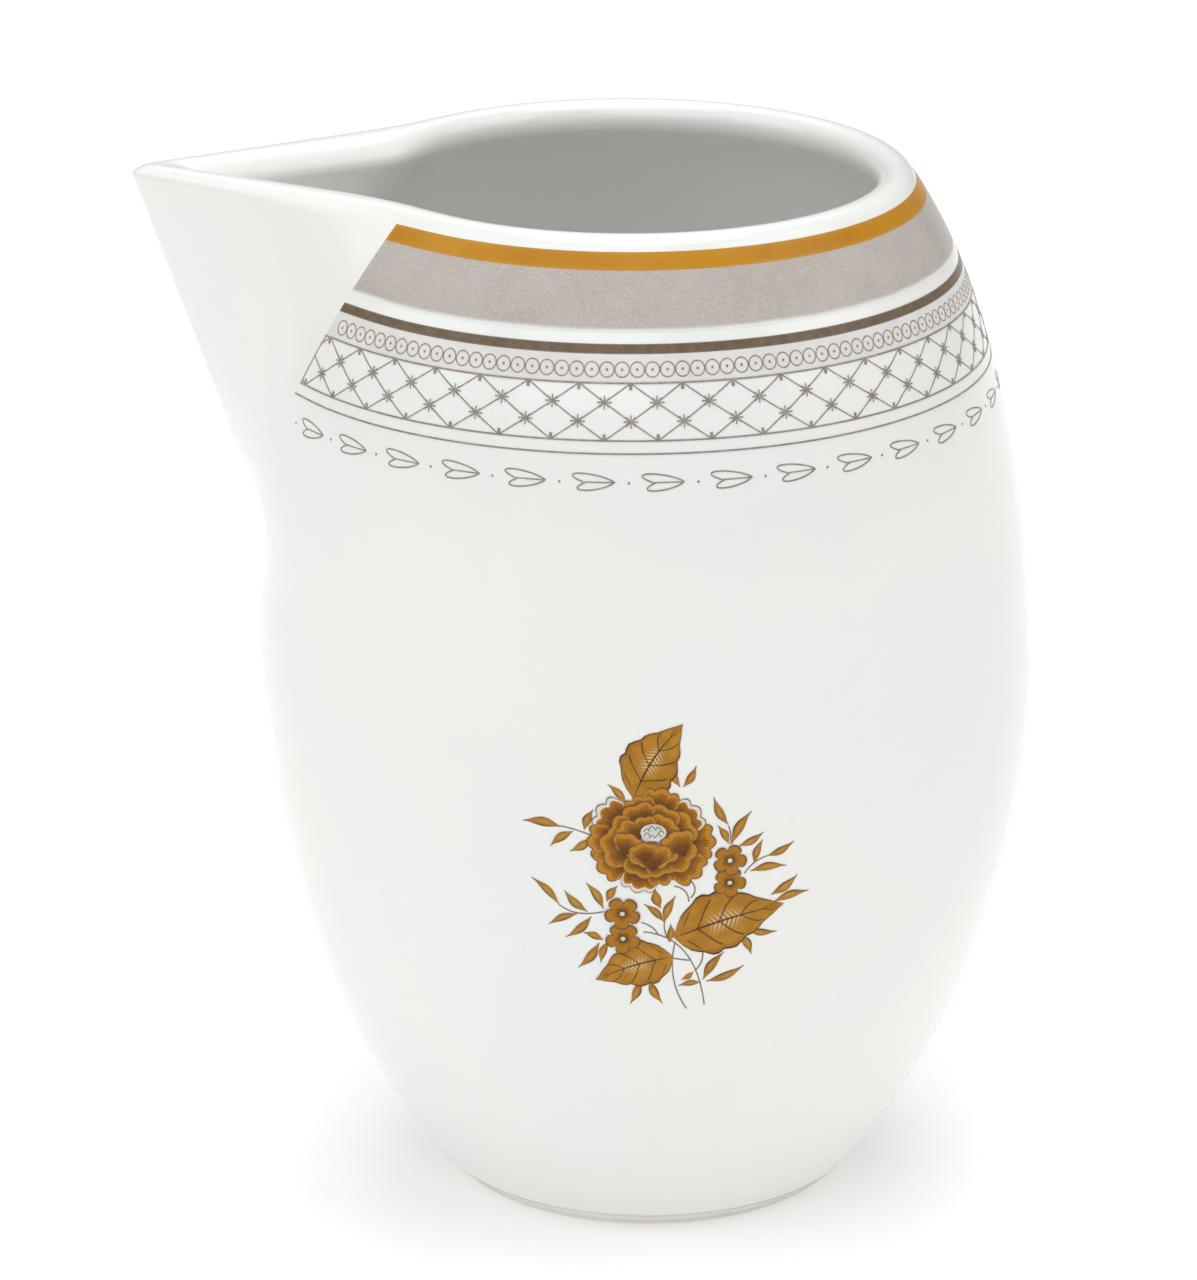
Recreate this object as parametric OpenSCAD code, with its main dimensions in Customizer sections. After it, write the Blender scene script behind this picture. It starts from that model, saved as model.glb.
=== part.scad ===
// Small porcelain cream jug: an egg-shaped body with a drawn-out beak spout, a bare foot ring and a
// printed border and bouquet. Z is up, the origin is the centre of the foot on the table, and the
// spout points along -X. Lengths are in millimetres, and angles around the body start at +X.

/* [Body] */
// Height of the lip above the table
lip_top = 109.2; // [100:0.1:116]
// Radius of the body at its widest
belly_radius = 40.4; // [38:0.1:43]
// Height of the widest place
belly_z = 58; // [55:0.5:60]
// Thickness of the porcelain wall
wall = 4.2; // [3.4:0.1:4.6]
// Thickness of the floor
floor_thickness = 5.0; // [4:0.1:7]
// How far the upper body leans towards the spout
lean = 2.2; // [0:0.1:3]

/* [Foot] */
// Height of the bare foot ring
foot_height = 1.5; // [1.2:0.1:2.2]
// Radius of the foot ring on the table
foot_radius = 20.8; // [19:0.1:21.4]
// Width of the foot ring
foot_width = 3.4; // [2.6:0.1:4.5]

/* [Spout] */
// Distance of the spout's tip from the body's axis
tip_reach = 53.9; // [50:0.1:56]
// Height at which the spout leaves the body
root_z = 74; // [72:0.5:78]
// Half of the angle that the spout takes of the body at the lip, degrees
spout_angle = 39.5; // [34:0.5:44]
// Half of the angle that the pouring channel takes of the cavity at the lip, degrees
channel_angle = 28; // [20:0.5:32]
// Length of the solid nose in front of the pouring channel
nose = 7.2; // [6:0.1:9]
// Radius of the rounded front edge
edge_radius = 1.3; // [0.9:0.1:1.8]

/* [Border] */
// Thickness of the printed layers
print_thickness = 0.12; // [0.1:0.01:0.2]
// Height of the lower edge of the ochre band
ochre_z = 106.3; // [105.5:0.1:106.8]
// Height of the lower edge of the grey band
grey_z = 100.9; // [100:0.1:103]
// Height of the lower edge of the taupe line
taupe_z = 98.95; // [98.8:0.05:99.2]
// Height of the lower edge of the row of beads
beads_z = 96.85; // [96.6:0.05:97]
// Height of the lower edge of the lattice and of the thin line under it
lattice_z = 89.6; // [89:0.1:91]
// Height of the lower edge of the row of leaves
leaves_z = 86.1; // [84:0.1:86.6]
// Angle between the end of the border and the spout, degrees
border_gap = 0.6; // [0.2:0.1:3]

/* [Bouquet] */
// Height of the bouquet's centre
bouquet_z = 47; // [40:0.5:52]
// Angle of the bouquet's centre around the body, degrees
bouquet_angle = 273; // [240:0.5:300]
// Scale of the bouquet
bouquet_scale = 1; // [0.7:0.05:1.1]

/* [Hidden] */
porcelain = "#eff2f0";
bare_clay = "#e4ddd0";
ochre = "#c9892b";
grey = "#b9b1ab";
taupe = "#80756b";
pale_print = "#d9d4d0";

$fn = 72;
sides = 60;
overlap = 1.8;
sector_reach = 60;
lower_reach = belly_z * 1.179;
upper_reach = (lip_top - belly_z) * 1.305;
lower_power = 1.86;
upper_power = 2.6;
spout_power = 0.65;
channel_power = 1.1;
lean_from = belly_z - 13;
lean_to = belly_z + 37;
floor_z = foot_height + floor_thickness;
floor_bend = 9;
lip_radius = wall / 2;
lip_z = lip_top - lip_radius;
ochre_top = ochre_z + 1.6;
taupe_top = taupe_z + 0.9;
beads_top = beads_z + 1.4;
lattice_top = lattice_z + 6.8;
leaves_top = leaves_z + 1.8;

// Radius of the outer surface at height z.
function outer_radius(z) =
    let (below = z < belly_z)
    let (power = below ? lower_power : upper_power)
    let (reach = below ? lower_reach : upper_reach)
    belly_radius * sqrt(1 - pow(abs(z - belly_z) / reach, power));

// How fast the outer radius changes with height.
function slope(z) = (outer_radius(z + 0.1) - outer_radius(z - 0.1)) / 0.2;

// Distance of a section's centre from the axis, towards the spout.
function lean_at(z) =
    let (t = min(max((z - lean_from) / (lean_to - lean_from), 0), 1))
    lean * t * t * (3 - 2 * t);

// Radius of the cavity at height z, with a rounded bend into the floor.
function inner_radius(z) =
    let (t = min(max((z - floor_z) / floor_bend, 0), 1))
    let (bend = floor_bend * (1 - sqrt(1 - (1 - t) * (1 - t))))
    outer_radius(z) - wall * sqrt(1 + slope(z) * slope(z)) - bend;

// Heights from one level to another, closer together at both ends.
function heights(from, to, count) =
    [for (i = [0 : count]) from + (to - from) * (1 - cos(180 * i / count)) / 2];

// The lip is half a circle that carries on from both faces of the wall.
lip_tilt = atan(-slope(lip_z));
lip_start = lip_z + lip_radius * sin(lip_tilt);
lip_end = lip_z - lip_radius * sin(lip_tilt);
lip_middle = outer_radius(lip_start) - lip_radius * cos(lip_tilt);

// Outlines of the wall as [radius, height] points.
outside = [for (z = heights(foot_height, lip_start, 22)) [outer_radius(z), z]];
lip_turns = [20 : 20 : 160];
lip = [for (a = lip_turns) [
    lip_middle + lip_radius * cos(a + lip_tilt),
    lip_z + lip_radius * sin(a + lip_tilt)
]];
inside = [for (z = heights(lip_end, floor_z, 16)) [inner_radius(z), z]];
outer_lip = [for (p = lip) if (p[0] > lip_middle) p];

// A closed solid through [radius, height] rings, with a flat end at the first and the last.
module lathe(path, margin = 0) {
    points = [
        for (p = path, i = [0 : sides - 1])
            let (a = i * 360 / sides)
            let (r = p[0] + margin)
            [r * cos(a) - lean_at(p[1]), r * sin(a), p[1]]
    ];
    last = len(path) - 1;
    ring_faces = [
        for (k = [0 : last - 1], i = [0 : sides - 1])
            let (j = (i + 1) % sides)
            [k * sides + i, (k + 1) * sides + i, (k + 1) * sides + j, k * sides + j]
    ];
    first_end = [for (i = [0 : sides - 1]) i];
    last_end = [for (i = [sides - 1 : -1 : 0]) last * sides + i];
    polyhedron(points, concat([first_end, last_end], ring_faces), convexity = 8);
}

// The body's outer form, filled up to the lip.
module filled_body(margin = 0) {
    lathe(concat(outside, outer_lip), margin);
}

// Distance of the spout's front edge from the axis at height z.
root_reach = outer_radius(root_z) + lean_at(root_z) - 0.3;
edge_slope = (tip_reach - root_reach) / (lip_top - root_z);
function edge_reach(z) = root_reach + edge_slope * (z - root_z);

// Half of an angle that opens from the root of the spout up to the lip. A power under 1 opens it
// fast near the root.
function opening_angle(z, at_lip, power) =
    at_lip * pow(max(z - root_z + 5, 0.5) / (lip_top - root_z + 5), power);

// How far the rounded lip has turned in at height z.
function lip_inset(z) =
    let (h = min(max(z - lip_z, 0), lip_radius))
    lip_radius - sqrt(lip_radius * lip_radius - h * h);

// Heights of the spout's slices: straight up to the lip, then around it.
slice_heights = concat(
    [for (i = [0 : 8]) root_z + (lip_z - root_z) * i / 8],
    [for (a = [30, 60, 90]) lip_z + lip_radius * sin(a)]
);

// Outline of a beak at height z: a rounded front at one reach, and straight sides that meet the
// round body at a radius and angle and run on a little behind its surface.
function beak_outline(z, reach, front_radius, back_radius, half_angle) =
    let (meet_x = -lean_at(z) - back_radius * cos(half_angle))
    let (meet_y = back_radius * sin(half_angle))
    let (side = sqrt(pow(meet_x + reach, 2) + meet_y * meet_y))
    let (back_x = meet_x + (meet_x + reach) * overlap / side)
    let (back_y = meet_y + meet_y * overlap / side)
    concat(
        [for (a = [100 : 20 : 260])
            [-reach + front_radius + front_radius * cos(a), front_radius * sin(a), z]],
        [[back_x, -back_y, z], [back_x, back_y, z]]
    );

// Outline of the spout's outer form at height z.
function spout_outline(z) =
    let (turned = lip_inset(z))
    let (back = outer_radius(min(z, lip_z)) - turned / 2)
    let (half_angle = opening_angle(z, spout_angle, spout_power) - turned)
    beak_outline(z, edge_reach(z) - turned, edge_radius + turned / 3, back, half_angle);

// Outline of the pouring channel at height z, flared out where it meets the lip.
function channel_outline(z) =
    let (turned = lip_inset(z))
    let (back = inner_radius(min(z, lip_end)))
    let (half_angle = opening_angle(z, channel_angle, channel_power) + turned * 2)
    beak_outline(z, edge_reach(z) - nose + turned * 0.7, 1, back, half_angle);

// A wedge at height z that opens towards the spout, a little wider than the spout.
function sector_outline(z) =
    let (half_angle = opening_angle(z, spout_angle, spout_power) + border_gap)
    let (across = sector_reach * tan(half_angle))
    [
        [-lean_at(z), 0, z],
        [-lean_at(z) - sector_reach, across, z],
        [-lean_at(z) - sector_reach, -across, z]
    ];

// A solid through a list of outlines, one tapering stage after another.
module stages(outlines) {
    for (i = [0 : len(outlines) - 2]) {
        corners = concat(outlines[i], outlines[i + 1]);
        hull()
            polyhedron(corners, [[for (k = [0 : len(corners) - 1]) k]]);
    }
}

// The spout's outer form, filled.
module filled_spout() {
    stages([for (z = slice_heights) spout_outline(z)]);
}

// The space that the milk flows through, from the cavity out over the nose.
module channel() {
    inside_stages = [for (z = slice_heights) if (z < lip_top - 0.1) channel_outline(z)];
    stages(concat(inside_stages, [channel_outline(lip_top + 0.6), channel_outline(lip_top + 4)]));
}

// The part of the body that the border leaves free on both sides of the spout.
module spout_sector() {
    first = leaves_z - 1;
    last = lip_top + 1;
    stages([for (i = [0 : 8]) sector_outline(first + (last - first) * i / 8)]);
}

// A printed layer that lies on the body between two heights.
module printed_ring(from, to) {
    difference() {
        intersection() {
            filled_body(print_thickness);
            translate([-60, -60, from])
                cube([120, 120, to - from]);
        }
        filled_body();
        spout_sector();
    }
}

// A pointed leaf that grows away from the centre at an angle.
module leaf_shape(angle, distance, length, width) {
    rotate(angle)
        translate([distance, 0])
            hull() {
                circle(0.4, $fn = 12);
                translate([length * 0.45, 0])
                    circle(width / 2, $fn = 12);
                translate([length, 0])
                    circle(0.3, $fn = 12);
            }
}

// Flat outline of the bouquet: one large flower among leaves of different lengths.
module bouquet_outline() {
    // Direction and length of each leaf
    leaves = [
        [80, 14], [112, 10], [46, 12], [22, 13], [6, 11], [-20, 10], [-48, 12], [-82, 14],
        [-112, 11], [-146, 13], [176, 11], [150, 10]
    ];
    translate([-2, 3.4])
        circle(6.8, $fn = 40);
    for (leaf = leaves)
        leaf_shape(leaf[0], 2, leaf[1], 5.5);
}

module jug_body() {
    color(porcelain)
        difference() {
            lathe(concat(outside, lip, inside));
            channel();
        }
}

module pouring_spout() {
    color(porcelain)
        difference() {
            filled_spout();
            filled_body();
            channel();
        }
}

module foot_ring() {
    edge = 0.5;
    top_radius = outer_radius(foot_height);
    inner = foot_radius - foot_width;
    rounding = [for (a = [0 : 15 : 90])
        [foot_radius - edge + edge * sin(a), edge - edge * cos(a)]];
    color(bare_clay)
        rotate_extrude()
            polygon(concat(
                [[inner + edge, 0]],
                rounding,
                [[top_radius, foot_height], [inner, foot_height], [inner, edge]]
            ));
}

module ochre_band() {
    color(ochre)
        printed_ring(ochre_z, ochre_top);
}

module grey_band() {
    color(grey)
        printed_ring(grey_z, ochre_z);
}

module taupe_line() {
    color(taupe)
        printed_ring(taupe_z, taupe_top);
}

module bead_border() {
    color(pale_print)
        printed_ring(beads_z, beads_top);
}

module lattice_border() {
    color(pale_print)
        printed_ring(lattice_z, lattice_top);
}

module leaf_border() {
    color(pale_print)
        printed_ring(leaves_z, leaves_top);
}

module bouquet() {
    color(ochre)
        difference() {
            intersection() {
                filled_body(print_thickness);
                translate([0, 0, bouquet_z])
                    rotate([90, 0, bouquet_angle - 270])
                        linear_extrude(60)
                            scale(bouquet_scale)
                                bouquet_outline();
            }
            filled_body();
        }
}

jug_body();
pouring_spout();
foot_ring();
ochre_band();
grey_band();
taupe_line();
bead_border();
lattice_border();
leaf_border();
bouquet();
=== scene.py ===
# %% [markdown]
# # A porcelain cream jug
#
# This lesson builds a small glazed porcelain jug: an egg-shaped body with a long beak spout, a bare
# foot ring, printed bands under the lip and a printed bouquet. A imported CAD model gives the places
# and sizes of all parts, and this script replaces its plain solids with finely shaped pieces.

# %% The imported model
import math

import bmesh
import bpy
from mathutils import Matrix, Vector


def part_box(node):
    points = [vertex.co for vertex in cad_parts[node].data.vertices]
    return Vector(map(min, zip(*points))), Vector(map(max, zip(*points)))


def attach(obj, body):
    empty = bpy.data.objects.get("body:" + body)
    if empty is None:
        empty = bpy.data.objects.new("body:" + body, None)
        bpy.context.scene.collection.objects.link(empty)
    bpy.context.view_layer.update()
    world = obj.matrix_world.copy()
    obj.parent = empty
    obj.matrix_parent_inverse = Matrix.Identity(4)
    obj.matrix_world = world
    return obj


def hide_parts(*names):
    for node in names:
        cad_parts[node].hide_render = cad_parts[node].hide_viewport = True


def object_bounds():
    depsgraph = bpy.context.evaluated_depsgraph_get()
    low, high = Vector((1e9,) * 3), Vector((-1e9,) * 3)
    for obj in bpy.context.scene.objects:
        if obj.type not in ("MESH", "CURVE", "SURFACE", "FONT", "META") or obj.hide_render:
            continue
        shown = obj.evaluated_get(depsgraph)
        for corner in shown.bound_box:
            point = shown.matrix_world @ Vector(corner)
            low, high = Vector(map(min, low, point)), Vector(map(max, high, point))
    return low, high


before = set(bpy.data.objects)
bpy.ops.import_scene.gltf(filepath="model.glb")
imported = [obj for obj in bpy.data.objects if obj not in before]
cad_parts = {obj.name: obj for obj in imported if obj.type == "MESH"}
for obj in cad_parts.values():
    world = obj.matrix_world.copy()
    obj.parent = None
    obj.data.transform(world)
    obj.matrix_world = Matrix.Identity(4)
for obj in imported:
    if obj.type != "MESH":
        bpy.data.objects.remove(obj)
cad_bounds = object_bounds()
print("parts in the packed model:", sorted(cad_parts))

# %% [markdown]
# ## Sizes
#
# All shapes are worked out in millimetres and scaled to metres at the end. The driving sizes are
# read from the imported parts: the height of the lip, the widest radius, how far the spout reaches
# and where each printed band begins and ends. What the boxes of the parts can't say, such as the
# thickness of the wall, is a named value here, the same one as in the part's source.

# %% Driving sizes
MM = 0.001


def box_mm(node):
    """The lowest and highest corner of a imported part, in millimetres."""
    low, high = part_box(node)
    return low / MM, high / MM


body_low, body_high = box_mm("jug_body")
foot_high = box_mm("foot_ring")[1]

lip_top = box_mm("pouring_spout")[1].z
belly_radius = (body_high.y - body_low.y) / 2
tip_reach = -cad_bounds[0].x / MM
foot_height = foot_high.z
base_radius = foot_high.y

belly_z = 58.0
wall = 4.2
floor_thickness = 5.0
lean = 2.2
root_z = 74.0
nose_length = 7.2
edge_radius = 1.3
channel_edge_radius = 1.0
print("lip at", round(lip_top, 1), "mm, widest radius", round(belly_radius, 1), "mm")

# %% [markdown]
# ## The form of the body
#
# A cast jug like this is an egg cut off at both ends. One formula gives its radius at every height:
# a curve like an ellipse below the widest place and a fuller one above it. The upper part also
# leans a little towards the spout. The cavity follows the outside at the thickness of the wall, and
# the half-round lip carries on from both.

# %% Radius of the outside and of the cavity
lower_stretch = 1.179
upper_stretch = 1.305
lower_reach = belly_z * lower_stretch
upper_reach = (lip_top - belly_z) * upper_stretch
lower_power = 1.86
upper_power = 2.6
lean_start_below_belly = 13
lean_rise = 50
floor_z = foot_height + floor_thickness
floor_bend = 9.0
lip_radius = wall / 2
lip_z = lip_top - lip_radius


def clamp(value):
    return min(max(value, 0.0), 1.0)


def ease(value):
    t = clamp(value)
    return t * t * (3 - 2 * t)


def outer_radius(z):
    power = lower_power if z < belly_z else upper_power
    reach = lower_reach if z < belly_z else upper_reach
    return belly_radius * math.sqrt(1 - (abs(z - belly_z) / reach) ** power)


def slope(z):
    """How fast the outside widens with height."""
    return (outer_radius(z + 0.1) - outer_radius(z - 0.1)) / 0.2


def lean_at(z):
    """How far the middle of the body has moved towards the spout at height z."""
    return lean * ease((z - belly_z + lean_start_below_belly) / lean_rise)


def inner_radius(z):
    """Radius of the cavity, rounded in towards its floor."""
    t = clamp((z - floor_z) / floor_bend)
    bend = floor_bend * (1 - math.sqrt(1 - (1 - t) ** 2))
    return outer_radius(z) - wall * math.sqrt(1 + slope(z) ** 2) - bend


lip_tilt = math.atan(-slope(lip_z))
lip_start = lip_z + lip_radius * math.sin(lip_tilt)
lip_end = lip_z - lip_radius * math.sin(lip_tilt)
lip_up = (-lip_radius * math.sin(lip_tilt), lip_radius * math.cos(lip_tilt))
print("lip runs from", round(lip_start, 2), "to", round(lip_end, 2), "mm")

# %% [markdown]
# ## The form of the spout
#
# Seen from above, the spout is a wedge with a small rounded nose whose straight sides meet the
# round body. Seen from the side, its front edge is a straight line that leaves the body at about
# two thirds of the height. Both can be said with one number for each direction: how far the surface
# is from the centre. For the body that is a radius, and for the wedge it is the distance to a
# straight line. A smooth maximum of the two joins them with a soft hollow, as the glaze does.

# %% Distance to the wedge, and the smooth maximum
spout_angle = 39.5
spout_power = 0.65
channel_angle = 28.0
channel_power = 1.1
opening_start = 5
hollow_z = 69.5
hollow_depth = 1.2
hollow_height = 6.8
hollow_turn = 0.5
least_side = math.radians(3)
root_inset = 0.3
root_reach = outer_radius(root_z) + lean_at(root_z) - root_inset
edge_slope = (tip_reach - root_reach) / (lip_top - root_z)


def edge_reach(z):
    return root_reach + edge_slope * (z - root_z)


def opening_angle(z, at_lip, power):
    """Half of the angle that a wedge takes at height z, in radians."""
    rise = max(z - root_z + opening_start, 0.5) / (lip_top - root_z + opening_start)
    return math.radians(at_lip) * rise ** power


def wedge_distance(angle, reach, nose_radius, radius, half_angle):
    """Distance to a round-nosed wedge that meets a circle at half_angle, and its depth in it."""
    centre = reach - nose_radius
    meet_x = radius * math.cos(half_angle) - centre
    meet_y = radius * math.sin(half_angle)
    length = math.hypot(meet_x, meet_y)
    turn = math.acos(min(nose_radius / length, 1.0))
    side = max(math.atan2(meet_y, meet_x) - turn, least_side)
    offset = centre * math.cos(side) + nose_radius
    touch = math.atan2(nose_radius * math.sin(side), centre + nose_radius * math.cos(side))
    a = abs(angle)
    if a < touch:
        across = centre * math.sin(a)
        distance = centre * math.cos(a) + math.sqrt(nose_radius ** 2 - across ** 2)
    elif a < side:
        distance = offset / math.cos(a - side)
    else:
        distance = offset * math.cos(min(a - side, math.pi / 2))
    return distance, radius - offset


def smooth_max(a, b, width):
    """The larger of a and b, rounded off where they are closer than width."""
    h = max(width - abs(a - b), 0.0) / width
    return max(a, b) + h * h * width / 4


def outer_reach(angle, z):
    """Distance of the outer surface from the leaning centre. The angle is 0 at the spout."""
    hollow = math.exp(-((z - hollow_z) / hollow_height) ** 2 - (angle / hollow_turn) ** 2)
    radius = outer_radius(z) - hollow_depth * hollow
    half = opening_angle(z, spout_angle, spout_power)
    wedge, depth = wedge_distance(angle, edge_reach(z) - lean_at(z), edge_radius, radius, half)
    return smooth_max(radius, wedge, min(1.8, 0.3 + 0.8 * max(depth, 0)))


def inner_reach(angle, z):
    """Distance of the cavity's wall from the leaning centre, with the spout's channel."""
    radius = inner_radius(z)
    half = opening_angle(z, channel_angle, channel_power)
    reach = edge_reach(z) - nose_length - lean_at(z)
    if reach < radius - 3:
        return radius
    wedge, depth = wedge_distance(angle, reach, channel_edge_radius, radius, half)
    return smooth_max(radius, wedge, min(2.4, 0.5 + 0.8 * max(depth, 0)))


def place(angle, reach, z):
    """The point at a distance and angle from the leaning centre. The spout points along -X."""
    return Vector((-lean_at(z) - reach * math.cos(angle), -reach * math.sin(angle), z))


print("front edge leans out", round(math.degrees(math.atan(edge_slope)), 1), "degrees")

# %% [markdown]
# ## One skin for the whole vessel
#
# A potter would throw or cast this wall in one go, and the mesh is made the same way. A straight
# row of points is spun to a flat disc. Each ring of the disc then stands for one level of the
# vessel, in the order in which a finger would follow them: from the middle of the underside, up the
# outside, over the lip, down the inside to the middle of the floor. Lifting every ring to its place
# gives a closed skin with a clean grid, fine enough to show a soft reflection.

# %% The levels of the skin
def steps(start, end, size):
    """Evenly spaced values from start up to, but without, end."""
    count = max(round(abs(end - start) / size), 1)
    return [start + (end - start) * i / count for i in range(count)]


lip_steps = 14
levels = [("under", r) for r in (0.0, 7.0, 13.0, 17.5, 20.0, base_radius - 0.3)]
levels += [("outside", z) for z in steps(foot_height, 6, 0.5)]
levels += [("outside", z) for z in steps(6, 66, 1.3)]
levels += [("outside", z) for z in steps(66, lip_start, 0.8)]
levels += [("lip", math.pi * i / lip_steps) for i in range(lip_steps)]
levels += [("inside", z) for z in steps(lip_end, 74, 0.9)]
levels += [("inside", z) for z in steps(74, floor_z + floor_bend, 2.0)]
bend_turns = [math.radians(a) for a in range(0, 90, 9)]
levels += [("inside", floor_z + floor_bend * (1 - math.sin(a))) for a in bend_turns]
levels += [("floor", r) for r in (1.0, 0.66, 0.33, 0.0)]
print(len(levels), "levels")

# %% Where a point of the disc goes
COLUMNS = 320
crowding = 0.85


def lip_point(angle, turn):
    """A point of the lip: half an ellipse from the outside over to the inside."""
    out = outer_reach(angle, lip_start)
    back = inner_reach(angle, lip_end)
    middle, half = (out + back) / 2, (out - back) / 2
    reach = middle + half * math.cos(turn) + lip_up[0] * math.sin(turn)
    rise = (lip_start - lip_end) / 2 * math.cos(turn) + lip_up[1] * math.sin(turn)
    return place(angle, reach, lip_z + rise)


def skin_point(column_angle, level):
    """The place of a disc point. Columns crowd together towards the spout."""
    angle = column_angle - crowding * math.sin(column_angle)
    kind, value = levels[level]
    if kind == "under":
        return place(angle, value, foot_height)
    if kind == "outside":
        return place(angle, outer_reach(angle, value), value)
    if kind == "lip":
        return lip_point(angle, value)
    if kind == "inside":
        return place(angle, inner_reach(angle, value), value)
    return place(angle, inner_radius(floor_z) * value, floor_z)


def spun_disc(ring_count):
    """A flat disc of rings 1 apart, with the last ring drawn together to a pole."""
    bm = bmesh.new()
    row = [bm.verts.new((ring, 0, 0)) for ring in range(ring_count)]
    edges = [bm.edges.new(pair) for pair in zip(row, row[1:])]
    bmesh.ops.spin(bm, geom=row + edges, axis=(0, 0, 1), cent=(0, 0, 0), steps=COLUMNS,
                   angle=2 * math.pi, use_merge=True)
    bmesh.ops.remove_doubles(bm, verts=bm.verts[:], dist=1e-4)
    return bm


vessel = spun_disc(len(levels))
for v in vessel.verts:
    ring = round(v.co.length)
    v.co = skin_point(math.atan2(v.co.y, v.co.x), ring)
bmesh.ops.remove_doubles(vessel, verts=vessel.verts[:], dist=1e-5)
bmesh.ops.recalc_face_normals(vessel, faces=vessel.faces[:])
bmesh.ops.scale(vessel, verts=vessel.verts[:], vec=(MM, MM, MM))
open_edges = [e for e in vessel.edges if not e.is_manifold]
print(len(vessel.faces), "faces,", len(open_edges), "open edges")

# %% [markdown]
# ## From skin to pieces
#
# The body and the spout are two pieces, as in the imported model, so the skin is cut by one sloping
# plane along the spout's root and both cuts are closed. To keep the cut invisible, each piece
# shades with the directions that the whole skin had before the cut.

# %% Helpers that finish a piece
# A point of the sloping cut in millimetres, and the direction at right angles to it
cut_point = Vector((-24.7, 0, 107.0))
cut_normal = Vector((35.0, 0, -15.8)).normalized()


def new_piece(name, bm, materials, slot, *nodes):
    """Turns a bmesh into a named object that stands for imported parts."""
    mesh = bpy.data.meshes.new(name)
    bm.to_mesh(mesh)
    bm.free()
    piece = bpy.data.objects.new(name, mesh)
    bpy.context.scene.collection.objects.link(piece)
    for material in materials:
        mesh.materials.append(material)
    mesh.polygons.foreach_set("use_smooth", [True] * len(mesh.polygons))
    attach(piece, "root")
    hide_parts(*nodes)
    print(name, "has", len(mesh.polygons), "faces")
    return piece


def cut_piece(bm, keep_spout):
    """One side of the sloping cut, closed, with the uncut skin's normals kept in a layer."""
    part = bm.copy()
    kept = part.verts.layers.float_vector.new("kept_normal")
    part.normal_update()
    for v in part.verts:
        v[kept] = v.normal
    bmesh.ops.bisect_plane(part, geom=part.verts[:] + part.edges[:] + part.faces[:], dist=1e-8,
                           plane_co=cut_point * MM, plane_no=cut_normal,
                           clear_outer=keep_spout, clear_inner=not keep_spout)
    rim = [e for e in part.edges if e.is_boundary]
    before = set(part.faces)
    bmesh.ops.holes_fill(part, edges=rim, sides=0)
    for face in part.faces:
        face.material_index = 0 if face in before else 1
    return part


def keep_shading(piece):
    """Gives a cut piece the stored normals, and its flat cap its own."""
    mesh = piece.data
    kept = mesh.attributes["kept_normal"].data
    normals = [None] * len(mesh.loops)
    for face in mesh.polygons:
        for i in face.loop_indices:
            stored = kept[mesh.loops[i].vertex_index].vector
            normals[i] = face.normal if face.material_index else stored.normalized()
    mesh.polygons.foreach_set("material_index", [0] * len(mesh.polygons))
    mesh.normals_split_custom_set(normals)
    mesh.attributes.remove(mesh.attributes["kept_normal"])

# %% [markdown]
# ## Writing materials as sums
#
# Shader nodes are easier to read as arithmetic. The small class below wraps a socket, so that
# adding or multiplying two wrapped sockets makes the Math node that does it.

# %% A socket that can do arithmetic
class Wire:
    """A value in a material's node tree."""

    def __init__(self, shader, socket):
        self.shader, self.socket = shader, socket

    def _math(self, operation, *values):
        return self.shader.node("ShaderNodeMath", {"operation": operation}, list(values))

    def __add__(self, other):
        return self._math("ADD", self, other)

    def __sub__(self, other):
        return self._math("SUBTRACT", self, other)

    def __rsub__(self, other):
        return self._math("SUBTRACT", other, self)

    def __mul__(self, other):
        return self._math("MULTIPLY", self, other)

    def __gt__(self, other):
        return self._math("GREATER_THAN", self, other)

    def __lt__(self, other):
        return self._math("LESS_THAN", self, other)

    def __abs__(self):
        return self._math("ABSOLUTE", self)

    __radd__ = __add__
    __rmul__ = __mul__

    def sine(self):
        return self._math("SINE", self)

    def fraction(self):
        return self._math("FRACT", self)

    def step(self, low, high):
        """0 below low and 1 above high, with a smooth rise between."""
        settings = {"interpolation_type": "SMOOTHSTEP"}
        sockets = {"Value": self, "From Min": low, "From Max": high}
        return self.shader.node("ShaderNodeMapRange", settings, sockets)


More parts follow.
